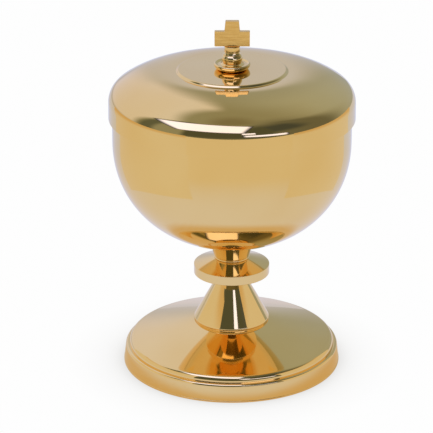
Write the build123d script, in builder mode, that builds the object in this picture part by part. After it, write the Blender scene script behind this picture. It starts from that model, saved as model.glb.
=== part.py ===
from build123d import *
import os
from math import asin, cos, radians, sin

# A ciborium: a lidded altar cup on a stem and foot, spun and turned in brass and gilded.
# Frame: the foot stands on Z = 0, +Z runs up the axis, and the flat of the cross faces -Y.
# Each round piece is a section in the XZ plane (radius across, height up) turned about Z.
# All sizes are millimetres.

# ---- driving dimensions -------------------------------------------------------------
overall_height = 200.0
sheet_wall = 1.2                 # spun sheet of the cup and the foot
lid_wall = 1.0                   # spun sheet of the lid

# foot
foot_radius = 61.1               # outside of the wall at the base ring
foot_wall_top_radius = 60.1
foot_seat_z = 24.1               # flat on top, where the stem stands
foot_seat_radius = 21.2
foot_bead_radius = 1.5           # lower rounding of the rim
foot_bead_top_z = 10.3
foot_groove_radius = 57.9        # bottom of the groove between the two roundings
foot_groove_height = 0.6
foot_shoulder_round = 3.2        # upper rounding of the rim
foot_shoulder_slope = 11.0       # degrees below level where the foot's top meets the rim
foot_top_crown = 0.15            # how far the conical top swells above a straight line
base_ring_height = 1.0
base_ring_radius = 61.15
base_ring_inner_radius = 55.6
base_ring_lip_height = 3.0       # locating lip that stands up inside the foot
base_ring_lip_width = 1.2

# stem
cone_top_z = 48.7
cone_top_radius = 8.7
cone_bottom_radius = 21.0        # where the straight side ends
cone_half_angle = 28.8           # degrees from the axis
cone_lip_radius = 1.2            # rolled lip round the bottom
cone_lip_turn = 88.8             # degrees that the lip turns back under
cone_wall = 2.4
cone_head_height = 6.0           # solid head that the tie rod passes through
knop_radius = 21.2
knop_band_bottom_z = 52.75
knop_band_top_z = 57.9
knop_hub_radius = 9.8
knop_top_z = 61.6
knop_edge_round = 0.35
neck_ring_height = 1.3
neck_ring_radius = 9.95
neck_bottom_radius = 9.75
neck_top_radius = 13.0
neck_hollow = 0.1                # how far the neck's side curves in from a straight line

# cup
bowl_radius = 66.0
bowl_depth = 59.9                # from the widest point down to the pole of its curve
bowl_centre_z = 131.75           # the side is straight above this height
bowl_fullness = 2.12             # exponent of the curve; 2 would be an ellipse
bowl_seat_z = 72.45              # small flat at the bottom, where the neck is fastened
bowl_spans = 8                   # spans of the curve from the flat to the straight side
lip_z = 157.0
lip_round = 0.5
boss_radius = 6.0
boss_height = 8.0

# lid
skirt_bottom_z = 145.3
skirt_bottom_radius = 67.95
skirt_top_z = 154.3
skirt_top_radius = 67.86
lid_edge_radius = 10.4           # rounding from the skirt on to the top
lid_edge_turn = 55.2             # degrees of that rounding
lid_dome_radius = 44.7           # the dome's section above the edge
lid_dome_turn = 20.8
plateau_z = 172.6                # raised flat that the finial stands on
plateau_radius = 29.2
plateau_step_width = 1.8         # sloping step round the plateau
plateau_step_height = 1.2
plateau_step_handle = 1.1       # length of the step curve's handles
plateau_edge_share = 0.4         # share of the wall that the plateau's edge moves in, inside
lid_hem_round = 0.3
seat_ring_thickness = 1.2        # ring inside the lid that rests on the cup's lip
seat_ring_inner_radius = 62.6

# finial
finial_base_radius = 9.9
finial_base_foot_radius = 6.7
finial_base_height = 3.7
finial_rim_low = 2.5             # height on the base where its rim's rounding starts
finial_rim_high = 3.5            # crest of that rim
finial_rim_inset = 0.8           # how far inside the widest point the crest is
finial_rim_bulge = 0.16          # the same for the middle of the rounding between them
finial_dish_radius = 7.2         # middle of the dish inside the rim
finial_dish_height = 2.8
finial_seat_margin = 0.3         # ledge that the dish leaves round the barrel
barrel_radius = 5.6
barrel_end_radius = 4.9
barrel_height = 4.6
collar_radius = 4.3
collar_bottom_radius = 4.75
collar_height = 4.7
collar_hole_depth = 3.0
collar_flare_share = 1 / 3       # lower part of the collar that flares out
cross_span = 19.2
cross_arm_height = 8.6
cross_stem_bottom_width = 8.4
cross_stem_top_width = 7.3
cross_thickness = 2.6
cross_edge_round = 0.25
tang_width = 3.6
tang_depth = 1.1

# fasteners
tie_rod_radius = 3.0             # M6
tie_rod_clearance = 0.25
tie_rod_bottom_z = 12.5
tie_rod_engagement = 6.5         # thread inside the cup's boss
clamp_washer_radius = 14.0
clamp_washer_thickness = 2.0
lock_washer_radius = 5.6
lock_washer_thickness = 1.5
lock_washer_gap = 1.2
lock_washer_slant = 20           # degrees that the split is turned from square
foot_nut_across_flats = 10.0
foot_nut_height = 5.0
stud_radius = 2.0                # M4
stud_tail = 1.6                  # thread that stands out of the finial's nut
finial_washer_radius = 6.0
finial_washer_thickness = 1.0
finial_nut_across_flats = 7.0
finial_nut_height = 3.2
fastener_chamfer = 0.4

# heights that follow from the stack
neck_bottom_z = knop_top_z + neck_ring_height
finial_base_top_z = plateau_z + finial_base_height
barrel_top_z = finial_base_top_z + barrel_height
collar_top_z = barrel_top_z + collar_height
arm_top_z = collar_top_z + cross_arm_height
rod_hole_radius = tie_rod_radius + tie_rod_clearance
stud_hole_radius = stud_radius + tie_rod_clearance


# ---- curves shared by more than one piece ---------------------------------------------
def bowl_curve(inset):
    """The cup's side from its flat bottom to its straight part, inset from the outer skin."""
    radius = bowl_radius - inset
    depth = bowl_depth - inset
    power = 2 / bowl_fullness
    drop = (bowl_centre_z - bowl_seat_z - inset) / depth
    start_angle = asin(drop ** (1 / power))
    points = []
    for span in range(bowl_spans + 1):
        angle = start_angle * (1 - span / bowl_spans)
        across = radius * cos(angle) ** power
        points.append((across, bowl_centre_z - depth * sin(angle) ** power))
    reach = points[0][0] / radius
    start_slope = depth / radius * (reach / drop) ** (bowl_fullness - 1)
    return Spline(*points, tangents=[(1, start_slope), (0, 1)])


def lid_curves(inset):
    """The lid's section from its centre hole to the hem, inset from the outer skin."""
    hem = (skirt_bottom_radius - inset, skirt_bottom_z)
    skirt = Line(hem, (skirt_top_radius - inset, skirt_top_z))
    edge = JernArc(skirt @ 1, (0, 1), lid_edge_radius - inset, lid_edge_turn)
    dome = JernArc(edge @ 1, edge % 1, lid_dome_radius - inset, lid_dome_turn)
    flat_end = Vector(plateau_radius - plateau_edge_share * inset, plateau_z - inset)
    step_foot = flat_end + Vector(plateau_step_width, -plateau_step_height)
    crown = TangentArc(dome @ 1, step_foot, tangent=dome % 1)
    step_out = step_foot + (crown % 1) * plateau_step_handle
    step_in = flat_end + Vector(plateau_step_handle, 0)
    Bezier(step_foot, step_out, step_in, flat_end)
    flat = Line(flat_end, (stud_hole_radius, plateau_z - inset))
    return skirt @ 0, flat @ 1


# ---- cup ------------------------------------------------------------------------------
with BuildPart() as cup_bowl:
    with BuildSketch(Plane.XZ) as bowl_section:
        with BuildLine():
            outer_side = bowl_curve(0)
            inner_side = bowl_curve(sheet_wall)
            Line((0, bowl_seat_z), outer_side @ 0)
            Polyline(
                outer_side @ 1,
                (bowl_radius, lip_z),
                (bowl_radius - sheet_wall, lip_z),
                inner_side @ 1,
            )
            Polyline(inner_side @ 0, (0, bowl_seat_z + sheet_wall), (0, bowl_seat_z))
        make_face()
        fillet(bowl_section.vertices().group_by(Axis.Y)[-1], lip_round)
    revolve(axis=Axis.Z)

# Threaded boss brazed under the cup, inside the neck.
with BuildPart() as cup_boss:
    with BuildSketch(Plane.XY.offset(bowl_seat_z)):
        Circle(boss_radius)
    extrude(amount=-boss_height)
    chamfer(cup_boss.edges().group_by(Axis.Z)[0], fastener_chamfer)
    with Locations((0, 0, bowl_seat_z - boss_height + tie_rod_engagement / 2)):
        Cylinder(tie_rod_radius, tie_rod_engagement, mode=Mode.SUBTRACT)

# ---- stem -----------------------------------------------------------------------------
with BuildPart() as neck_sleeve:
    with BuildSketch(Plane.XZ):
        with BuildLine():
            side_bottom = Vector(neck_bottom_radius, neck_bottom_z)
            side_top = Vector(neck_top_radius, bowl_seat_z)
            side_middle = (side_bottom + side_top) / 2 - Vector(neck_hollow, 0)
            ThreePointArc(side_bottom, side_middle, side_top)
            Polyline(
                side_top,
                (boss_radius + tie_rod_clearance, bowl_seat_z),
                (boss_radius + tie_rod_clearance, neck_bottom_z),
                side_bottom,
            )
        make_face()
    revolve(axis=Axis.Z)

# Thin half-round ring between the knop and the neck.
with BuildPart() as neck_ring:
    with BuildSketch(Plane.XZ):
        with BuildLine():
            ring_flank_radius = neck_ring_radius - neck_ring_height / 2
            ThreePointArc(
                (ring_flank_radius, knop_top_z),
                (neck_ring_radius, knop_top_z + neck_ring_height / 2),
                (ring_flank_radius, neck_bottom_z),
            )
            Polyline(
                (ring_flank_radius, neck_bottom_z),
                (rod_hole_radius, neck_bottom_z),
                (rod_hole_radius, knop_top_z),
                (ring_flank_radius, knop_top_z),
            )
        make_face()
    revolve(axis=Axis.Z)

# Disc knop: a straight band with a shallow cone above and below.
with BuildPart() as knop:
    with BuildSketch(Plane.XZ) as knop_section:
        with BuildLine():
            Polyline(
                (rod_hole_radius, cone_top_z),
                (cone_top_radius, cone_top_z),
                (knop_radius, knop_band_bottom_z),
                (knop_radius, knop_band_top_z),
                (knop_hub_radius, knop_top_z),
                (rod_hole_radius, knop_top_z),
                close=True,
            )
        make_face()
        fillet(knop_section.vertices().group_by(Axis.X)[-1], knop_edge_round)
    revolve(axis=Axis.Z)

# Hollow cone with a rolled lip that stands on the foot.
with BuildPart() as stem_cone:
    with BuildSketch(Plane.XZ):
        with BuildLine():
            slant = Vector(sin(radians(cone_half_angle)), -cos(radians(cone_half_angle)))
            slant_length = (cone_bottom_radius - cone_top_radius) / slant.X
            side = Line(
                (cone_top_radius, cone_top_z),
                Vector(cone_top_radius, cone_top_z) + slant * slant_length,
            )
            lip = JernArc(side @ 1, side % 1, cone_lip_radius, -cone_lip_turn)
            lip_end = lip @ 1
            head_z = cone_top_z - cone_head_height
            cavity_top_radius = cone_top_radius + cone_head_height * slant.X / -slant.Y - cone_wall
            Polyline(
                lip_end,
                (lip_end.X, foot_seat_z),
                (cone_bottom_radius - cone_wall, foot_seat_z),
                (cavity_top_radius, head_z),
                (rod_hole_radius, head_z),
                (rod_hole_radius, cone_top_z),
                side @ 0,
            )
        make_face()
    revolve(axis=Axis.Z)

# ---- foot -----------------------------------------------------------------------------
# One spun sheet: flat seat, conical top, two roundings with a groove between, and the wall.
with BuildPart() as foot_shell:
    with BuildSketch(Plane.XZ):
        with BuildLine():
            slope = radians(foot_shoulder_slope)
            groove_top_z = foot_bead_top_z + foot_groove_height
            shoulder_end = Vector(
                foot_groove_radius - foot_shoulder_round * (1 - sin(slope)),
                groove_top_z + foot_shoulder_round * cos(slope),
            )
            seat = Line((rod_hole_radius, foot_seat_z), (foot_seat_radius, foot_seat_z))
            top_middle = (seat @ 1 + shoulder_end) / 2 + Vector(0, foot_top_crown)
            ThreePointArc(seat @ 1, top_middle, shoulder_end)
            shoulder = RadiusArc(
                shoulder_end, (foot_groove_radius, groove_top_z), foot_shoulder_round
            )
            bead_start = (foot_wall_top_radius - foot_bead_radius, foot_bead_top_z)
            Polyline(shoulder @ 1, (foot_groove_radius, foot_bead_top_z), bead_start)
            bead = JernArc(bead_start, (1, 0), foot_bead_radius, -90)
            Line(bead @ 1, (foot_radius, 0))
            offset(amount=sheet_wall, side=Side.RIGHT)
        make_face()
    revolve(axis=Axis.Z)
    split(bisect_by=Plane.XY.offset(base_ring_height), keep=Keep.TOP)

# Flat ring brazed into the foot's bottom edge: the face that the vessel rests on.
with BuildPart() as foot_base_ring:
    with BuildSketch(Plane.XZ) as base_ring_section:
        with BuildLine():
            lip_outer_radius = foot_wall_top_radius - sheet_wall
            Polyline(
                (base_ring_inner_radius, 0),
                (base_ring_radius, 0),
                (base_ring_radius, base_ring_height),
                (lip_outer_radius, base_ring_height),
                (lip_outer_radius, base_ring_lip_height),
                (lip_outer_radius - base_ring_lip_width, base_ring_lip_height),
                (lip_outer_radius - base_ring_lip_width, base_ring_height),
                (base_ring_inner_radius, base_ring_height),
                close=True,
            )
        make_face()
        fillet(base_ring_section.vertices().group_by(Axis.X)[-1], knop_edge_round)
    revolve(axis=Axis.Z)

# ---- tie rod and its fastenings under the foot ------------------------------------------
with BuildPart() as tie_rod:
    rod_top_z = bowl_seat_z - boss_height + tie_rod_engagement
    with BuildSketch(Plane.XY.offset(tie_rod_bottom_z)):
        Circle(tie_rod_radius)
    extrude(amount=rod_top_z - tie_rod_bottom_z)
    chamfer(tie_rod.edges().filter_by(GeomType.CIRCLE), fastener_chamfer)

clamp_top_z = foot_seat_z - sheet_wall
with BuildPart() as clamp_washer:
    with BuildSketch(Plane.XY.offset(clamp_top_z)):
        Circle(clamp_washer_radius)
        Circle(rod_hole_radius, mode=Mode.SUBTRACT)
    extrude(amount=-clamp_washer_thickness)
    chamfer(clamp_washer.edges().group_by(Axis.Z)[0].sort_by(SortBy.LENGTH)[-1], fastener_chamfer)

lock_top_z = clamp_top_z - clamp_washer_thickness
with BuildPart() as lock_washer:
    with BuildSketch(Plane.XY.offset(lock_top_z)):
        Circle(lock_washer_radius)
        Circle(rod_hole_radius, mode=Mode.SUBTRACT)
        with Locations((lock_washer_radius / 2 + rod_hole_radius / 2, 0)):
            Rectangle(lock_washer_radius, lock_washer_gap, rotation=lock_washer_slant, mode=Mode.SUBTRACT)
    extrude(amount=-lock_washer_thickness)

nut_top_z = lock_top_z - lock_washer_thickness
with BuildPart() as foot_nut:
    with BuildSketch(Plane.XY.offset(nut_top_z)):
        RegularPolygon(foot_nut_across_flats / 2, 6, major_radius=False)
        Circle(tie_rod_radius, mode=Mode.SUBTRACT)
    extrude(amount=-foot_nut_height)
    chamfer(foot_nut.edges().filter_by(GeomType.LINE).group_by(Axis.Z)[0], fastener_chamfer)

# ---- lid ------------------------------------------------------------------------------
with BuildPart() as lid_shell:
    with BuildSketch(Plane.XZ) as lid_section:
        with BuildLine():
            outer_hem, outer_hole = lid_curves(0)
            inner_hem, inner_hole = lid_curves(lid_wall)
            Line(outer_hem, inner_hem)
            Line(outer_hole, inner_hole)
        make_face()
        fillet(lid_section.vertices().group_by(Axis.Y)[0], lid_hem_round)
    revolve(axis=Axis.Z)

# Flat ring soldered inside the lid: it rests on the cup's lip and keeps the skirt off the side.
with BuildPart() as lid_seat_ring:
    with BuildSketch(Plane.XZ):
        with BuildLine():
            edge_centre = Vector(skirt_top_radius - lid_edge_radius, skirt_top_z)
            edge_inner = lid_edge_radius - lid_wall
            ring_corners = []
            for height in (lip_z, lip_z + seat_ring_thickness / 2, lip_z + seat_ring_thickness):
                rise = height - edge_centre.Y
                across = edge_centre.X + (edge_inner**2 - rise**2) ** 0.5
                ring_corners.append((across, height))
            ThreePointArc(*ring_corners)
            Polyline(
                ring_corners[-1],
                (seat_ring_inner_radius, lip_z + seat_ring_thickness),
                (seat_ring_inner_radius, lip_z),
                ring_corners[0],
            )
        make_face()
    revolve(axis=Axis.Z)

# ---- finial ---------------------------------------------------------------------------
# Dished base with a rounded rim.
with BuildPart() as finial_base:
    with BuildSketch(Plane.XZ):
        with BuildLine():
            rim_low = Vector(finial_base_radius, plateau_z + finial_rim_low)
            rim_high = rim_low + Vector(-finial_rim_inset, finial_rim_high - finial_rim_low)
            rim_middle = rim_low + Vector(-finial_rim_bulge, finial_rim_inset)
            foot_edge = Vector(finial_base_foot_radius, plateau_z)
            dish_middle = (finial_dish_radius, plateau_z + finial_dish_height)
            seat_edge = Vector(barrel_end_radius + finial_seat_margin, finial_base_top_z)
            TangentArc(foot_edge, rim_low, tangent=(1, 0))
            ThreePointArc(rim_low, rim_middle, rim_high)
            ThreePointArc(rim_high, dish_middle, seat_edge)
            Polyline(
                seat_edge,
                (stud_hole_radius, finial_base_top_z),
                (stud_hole_radius, plateau_z),
                foot_edge,
            )
        make_face()
    revolve(axis=Axis.Z)

with BuildPart() as finial_barrel:
    with BuildSketch(Plane.XZ):
        with BuildLine():
            ThreePointArc(
                (barrel_end_radius, finial_base_top_z),
                (barrel_radius, finial_base_top_z + barrel_height / 2),
                (barrel_end_radius, barrel_top_z),
            )
            Polyline(
                (barrel_end_radius, barrel_top_z),
                (stud_hole_radius, barrel_top_z),
                (stud_hole_radius, finial_base_top_z),
                (barrel_end_radius, finial_base_top_z),
            )
        make_face()
    revolve(axis=Axis.Z)

# Collar: screwed on the stud from below, and slotted on top for the cross's tang.
with BuildPart() as finial_collar:
    with BuildSketch(Plane.XZ):
        with BuildLine():
            waist_z = barrel_top_z + collar_height * collar_flare_share
            RadiusArc(
                (collar_radius, waist_z), (collar_bottom_radius, barrel_top_z), -collar_height
            )
            Polyline(
                (collar_bottom_radius, barrel_top_z),
                (stud_radius, barrel_top_z),
                (stud_radius, barrel_top_z + collar_hole_depth),
                (0, barrel_top_z + collar_hole_depth),
                (0, collar_top_z),
                (collar_radius, collar_top_z),
                (collar_radius, waist_z),
            )
        make_face()
    revolve(axis=Axis.Z)
    with BuildSketch(Plane.XY.offset(collar_top_z)):
        Rectangle(tang_width, cross_thickness)
    extrude(amount=-tang_depth, mode=Mode.SUBTRACT)

# Cross: flat bar with a slightly tapered upper arm and a tang below.
with BuildPart() as cross:
    with BuildSketch(Plane.XZ.offset(-cross_thickness / 2)):
        with Locations((0, (collar_top_z + arm_top_z) / 2)):
            Rectangle(cross_span, cross_arm_height)
        with BuildLine():
            Polyline(
                (-cross_stem_bottom_width / 2, arm_top_z),
                (cross_stem_bottom_width / 2, arm_top_z),
                (cross_stem_top_width / 2, overall_height),
                (-cross_stem_top_width / 2, overall_height),
                close=True,
            )
        make_face()
    extrude(amount=cross_thickness)
    fillet(cross.edges(), cross_edge_round)
    with BuildSketch(Plane.XY.offset(collar_top_z - tang_depth)):
        Rectangle(tang_width, cross_thickness)
    extrude(amount=tang_depth + cross_edge_round)

# Stud, washer and nut that hold the finial down, inside the lid.
washer_top_z = plateau_z - lid_wall
washer_bottom_z = washer_top_z - finial_washer_thickness
finial_nut_bottom_z = washer_bottom_z - finial_nut_height
with BuildPart() as finial_stud:
    stud_bottom_z = finial_nut_bottom_z - stud_tail
    stud_top_z = barrel_top_z + collar_hole_depth
    with BuildSketch(Plane.XY.offset(stud_bottom_z)):
        Circle(stud_radius)
    extrude(amount=stud_top_z - stud_bottom_z)
    chamfer(finial_stud.edges().group_by(Axis.Z)[0], fastener_chamfer)

with BuildPart() as finial_washer:
    with BuildSketch(Plane.XY.offset(washer_bottom_z)):
        Circle(finial_washer_radius)
        Circle(stud_hole_radius, mode=Mode.SUBTRACT)
    extrude(amount=finial_washer_thickness)

with BuildPart() as finial_nut:
    with BuildSketch(Plane.XY.offset(finial_nut_bottom_z)):
        RegularPolygon(finial_nut_across_flats / 2, 6, major_radius=False)
        Circle(stud_radius, mode=Mode.SUBTRACT)
    extrude(amount=finial_nut_height)
    chamfer(finial_nut.edges().filter_by(GeomType.LINE).group_by(Axis.Z)[0], fastener_chamfer)

# ---- write each piece -------------------------------------------------------------------
pieces = {
    "cup_bowl": cup_bowl,
    "cup_boss": cup_boss,
    "neck_sleeve": neck_sleeve,
    "neck_ring": neck_ring,
    "knop": knop,
    "stem_cone": stem_cone,
    "foot_shell": foot_shell,
    "foot_base_ring": foot_base_ring,
    "tie_rod": tie_rod,
    "clamp_washer": clamp_washer,
    "lock_washer": lock_washer,
    "foot_nut": foot_nut,
    "lid_shell": lid_shell,
    "lid_seat_ring": lid_seat_ring,
    "finial_base": finial_base,
    "finial_barrel": finial_barrel,
    "finial_collar": finial_collar,
    "cross": cross,
    "finial_stud": finial_stud,
    "finial_washer": finial_washer,
    "finial_nut": finial_nut,
}
os.makedirs("parts", exist_ok=True)
for label, piece in pieces.items():
    piece.part.label = label
    export_step(piece.part, f"parts/{label}.step")
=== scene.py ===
import math

import bmesh
import bpy
import numpy as np
from mathutils import Matrix, Vector


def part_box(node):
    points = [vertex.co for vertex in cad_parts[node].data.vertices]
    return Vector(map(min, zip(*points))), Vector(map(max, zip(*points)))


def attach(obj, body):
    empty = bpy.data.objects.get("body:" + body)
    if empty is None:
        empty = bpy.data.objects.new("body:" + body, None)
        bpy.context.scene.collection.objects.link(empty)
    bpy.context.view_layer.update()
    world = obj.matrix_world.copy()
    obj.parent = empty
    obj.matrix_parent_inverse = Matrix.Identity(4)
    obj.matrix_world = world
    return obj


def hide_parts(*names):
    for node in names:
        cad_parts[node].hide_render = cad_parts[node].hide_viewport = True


# The looks of a gilt ciborium: spun and turned gold-plated pieces, its brass and steel
# fastenings, and a small photographic studio round it. Blender's unit is the metre, and the
# sections of the turned pieces are drawn in millimetres.

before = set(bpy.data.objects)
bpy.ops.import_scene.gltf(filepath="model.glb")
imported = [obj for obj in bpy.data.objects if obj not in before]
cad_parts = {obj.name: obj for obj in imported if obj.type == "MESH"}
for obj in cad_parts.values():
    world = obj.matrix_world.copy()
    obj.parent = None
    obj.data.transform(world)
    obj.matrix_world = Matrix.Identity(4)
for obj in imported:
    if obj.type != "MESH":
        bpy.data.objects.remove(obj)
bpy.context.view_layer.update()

MM = 0.001


def extent(node):
    """(largest radius, bottom, top) of a turned CAD node, in millimetres."""
    low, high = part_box(node)
    return high.x / MM, low.z / MM, high.z / MM


# ---- sizes -----------------------------------------------------------------------------
# Lengths from here to the camera are millimetres where nothing else is said.
turned_segments = 256            # facets round the axis of a large turned piece
small_segments = 128             # and of a small one
arc_step = 3.0                   # degrees of an arc that one facet of a section takes
corner_guard = 0.04              # points this far from a corner keep flats flat
corner_step = 12.0               # degrees of an eased corner that one facet takes
corner_share = 0.4               # of a side: the most that an eased corner takes
guard_share = 0.3                # of that: the farthest that its guard point stands off
merge_gap = 1e-6                 # metres: nearer points of one piece become one

sheet_wall = 1.2                 # cup and foot
lid_wall = 1.0
lip_flat_half = 0.05             # half of the flat that the lip's two roundings leave

bowl_depth = 59.9
bowl_centre_z = 131.75
bowl_fullness = 2.12
bowl_steps = 48

foot_radius_at_floor = 61.1
foot_wall_top_radius = 60.1
foot_seat_radius = 21.2
foot_bead_radius = 1.5
foot_bead_top_z = 10.3
foot_groove_radius = 57.9
foot_groove_height = 0.6
foot_shoulder_round = 3.2
foot_shoulder_slope = 11.0       # degrees
foot_top_crown = 0.15
foot_groove_drift = 0.2          # of an inset: how much lower the groove lies on the inside
foot_seat_drift = 0.1            # of an inset: how much nearer the seat's edge lies
foot_seat_dip = 0.01             # middle of the rounding at the seat's edge
base_ring_inner_radius = 55.6

cone_top_radius = 8.7
cone_bottom_radius = 21.0
cone_half_angle = 28.8           # degrees
cone_lip_radius = 1.2
cone_lip_turn = 88.8             # degrees
cone_wall = 2.4
cone_head_height = 6.0

knop_band_bottom_z = 52.75
knop_band_top_z = 57.9
knop_hub_radius = 9.8
neck_bottom_radius = 9.75
neck_hollow = 0.1
neck_bore_radius = 6.25

lid_skirt_top_z = 154.3
lid_skirt_top_radius = 67.86
lid_edge_radius = 10.4
lid_edge_turn = 55.2             # degrees
lid_dome_radius = 44.7
lid_dome_turn = 20.8             # degrees
plateau_radius = 29.2
plateau_step_width = 1.8
plateau_step_height = 1.2
plateau_step_handle = 1.1
plateau_edge_share = 0.4
seat_ring_inner_radius = 62.6
seat_ring_edge_steps = 4
under_lid = 20.0                 # below the hem, where every inner face of the lid is seen from

finial_foot_radius = 6.7
barrel_end_radius = 4.9
collar_radius = 4.3
collar_hole_depth = 3.0
cross_arm_height = 8.6
cross_stem_bottom_width = 8.4
cross_stem_top_width = 7.3

dish_under_middle = (2.25, 0.75)  # out from the foot's edge and up from the bottom
dish_rim_low = (0.05, 2.5)        # in from the full radius and up from the bottom
dish_rim_middle = (0.2, 3.3)
dish_rim_high = (0.85, 3.5)
dish_top_middle = (7.2, 2.8)      # radius and up from the bottom
dish_seat_ledge = 0.3
collar_bore_radius = 2.0
collar_hollow = 0.33
collar_hollow_share = 0.6         # of the flared part's height

rod_hole_radius = 3.25
rod_pitch = 1.0                   # M6 coarse
rod_chamfer = 0.6
rod_nut_bore_radius = 3.0
rod_nut_flats = 10.0
stud_hole_radius = 2.25
stud_pitch = 0.7                  # M4 coarse
stud_chamfer = 0.45
stud_nut_bore_radius = 2.0
stud_nut_flats = 7.0
thread_segments = 48
thread_rows_per_pitch = 10
thread_end_rows = 3               # the last crest's row and the middles of both end faces
thread_depth_share = 0.61         # of the pitch
thread_crest_gap = 0.03           # that a crest stays inside its nominal radius

thread_sharp_angle = 50.0         # degrees: edges sharper than this are drawn sharp
nut_sharp_angle = 20.0
lock_washer_sharp_angle = 35.0
nut_face_share = 0.475            # of the width across flats: radius of the flat end face
nut_chamfer_angle = 30.0          # degrees
nut_bore_chamfer = 0.2
nut_points_per_side = 12
lock_washer_radius = 5.6
lock_washer_gap = 12.0            # degrees between its ends
lock_washer_lean = 6.0            # degrees that the cut leans over its thickness
lock_washer_steps = 72
lock_washer_edge = 0.15

soft_edge = 0.18                  # rounding that polishing leaves on a turned corner
eased_edge = 0.25                 # and on the knop's and bottom ring's corners
washer_edge = 0.2
cross_edge = 0.3


# ---- small helpers ---------------------------------------------------------------------
def linear(hex_colour):
    """An sRGB hex colour as the linear RGBA that a shader takes."""
    channels = []
    for start in (1, 3, 5):
        value = int(hex_colour[start:start + 2], 16) / 255
        channels.append(value / 12.92 if value <= 0.04045 else ((value + 0.055) / 1.055) ** 2.4)
    return (*channels, 1.0)


def along(heading):
    """The unit vector in a section that points in a heading in degrees, 0 outwards."""
    return Vector((math.cos(math.radians(heading)), math.sin(math.radians(heading))))


def node(tree, kind, settings=None, links=None, label=None):
    """Adds one node: settings are its properties or, by number or name, its inputs' values."""
    made = tree.nodes.new(kind)
    for key, value in (settings or {}).items():
        if isinstance(key, int) or key in made.inputs:
            made.inputs[key].default_value = value
        else:
            setattr(made, key, value)
    for key, source in (links or {}).items():
        tree.links.new(source, made.inputs[key])
    if label:
        made.label = label
    return made


node_column = 220
node_row = 190


def lay_out(tree):
    """Places a tree's nodes in columns by how far each is from the start."""
    depth = {n: 0 for n in tree.nodes}
    for _ in range(len(tree.nodes)):
        moved = False
        for link in tree.links:
            wanted = depth[link.from_node] + 1
            if depth[link.to_node] < wanted <= len(tree.nodes):
                depth[link.to_node] = wanted
                moved = True
        if not moved:
            break
    rows = {}
    for n in tree.nodes:
        row = rows.get(depth[n], 0)
        n.location = (depth[n] * node_column, -row * node_row)
        rows[depth[n]] = row + 1


def emptied(owner):
    """The node tree of a material or world, with nothing in it."""
    owner.use_nodes = True
    owner.node_tree.nodes.clear()
    return owner.node_tree


# ---- materials -------------------------------------------------------------------------
def metal(name, colour, roughness):
    """A material with one metallic Principled shader. Metals keep the default IOR.

    The plain colour and roughness are what shows wherever the patterns linked over them don't.
    """
    material = bpy.data.materials.new(name)
    tree = emptied(material)
    shader = node(tree, "ShaderNodeBsdfPrincipled", {
        "Base Color": linear(colour), "Metallic": 1.0, "Roughness": roughness})
    node(tree, "ShaderNodeOutputMaterial", links={"Surface": shader.outputs["BSDF"]})
    return material, tree, shader


def millimetres(tree, stretch=(1, 1, 1)):
    """Object coordinates counted in millimetres, so that a texture's scale is per millimetre."""
    place = node(tree, "ShaderNodeTexCoord")
    scaled = node(tree, "ShaderNodeMapping", {"Scale": [s / MM for s in stretch]},
                  {"Vector": place.outputs["Object"]})
    return scaled.outputs["Vector"]


def rings(tree, spacing, detail=2.0):
    """Uneven tool rings: noise read along the turned section, one ring about every spacing mm."""
    run = node(tree, "ShaderNodeAttribute", {"attribute_name": "run"})
    count = node(tree, "ShaderNodeMath", {"operation": "DIVIDE", 1: spacing},
                 {0: run.outputs["Fac"]}, label="rings along the section")
    noise = node(tree, "ShaderNodeTexNoise", {"noise_dimensions": "1D", "Scale": 1.0,
                 "Detail": detail, "Roughness": 0.6}, {"W": count.outputs[0]})
    return noise.outputs["Fac"]


def patches(tree, size, detail=3.0, stretch=(1, 1, 1)):
    """Soft cloudy patches about size mm across."""
    noise = node(tree, "ShaderNodeTexNoise", {"Scale": 1 / size, "Detail": detail,
                 "Roughness": 0.55}, {"Vector": millimetres(tree, stretch)})
    return noise.outputs["Fac"]


def spread(tree, value, low, high, start=0.3, end=0.7):
    """Turns a 0-1 pattern into the range low to high."""
    mapped = node(tree, "ShaderNodeMapRange", {"From Min": start, "From Max": end,
                  "To Min": low, "To Max": high}, {"Value": value})
    return mapped.outputs["Result"]


def tint(tree, pattern, thin, thick):
    """Two close shades of one metal, mixed by a pattern."""
    mixed = node(tree, "ShaderNodeMix", {"data_type": "RGBA", 6: linear(thin), 7: linear(thick)},
                 {0: pattern})
    return mixed.outputs[2]


def relief(tree, height, depth_mm, base=None):
    """Bump whose full height is depth_mm."""
    links = {"Height": height}
    if base:
        links["Normal"] = base
    made = node(tree, "ShaderNodeBump", {"Strength": 1.0, "Distance": depth_mm * MM}, links)
    return made.outputs["Normal"]


def gold_plate(name, roughness, haze, ring_spacing, ring_depth, wave_depth):
    """Hard gold plate over brass that was buffed to a mirror before plating.

    The eye gets sharp reflections, a slight haze where it was wiped, very shallow rings left
    by the lathe under the buffing, and long ripples of the sheet.
    """
    material, tree, shader = metal(name, "#F7D28A", roughness)
    wipe = patches(tree, 16.0, stretch=(1, 1, 0.4))
    tree.links.new(spread(tree, wipe, roughness, roughness + haze), shader.inputs["Roughness"])
    thickness = patches(tree, 40.0, detail=1.0)
    colour = tint(tree, spread(tree, thickness, 0, 1), "#F8D58F", "#F5CE83")
    tree.links.new(colour, shader.inputs["Base Color"])
    tool_marks = relief(tree, rings(tree, ring_spacing), ring_depth)
    tree.links.new(relief(tree, patches(tree, 11.0, detail=0.0), wave_depth, tool_marks),
                   shader.inputs["Normal"])
    return material


def make_gilt_spun():
    """Gold-plated brass sheet, spun over a former and buffed: a mirror with long ripples."""
    return gold_plate("gold plate on spun brass", 0.035, 0.03, 1.6, 0.00012, 0.0022)


def make_gilt_turned():
    """Gold-plated brass bar, turned and buffed: a tighter mirror with finer rings."""
    return gold_plate("gold plate on turned brass", 0.04, 0.03, 0.5, 0.00008, 0.0006)


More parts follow.
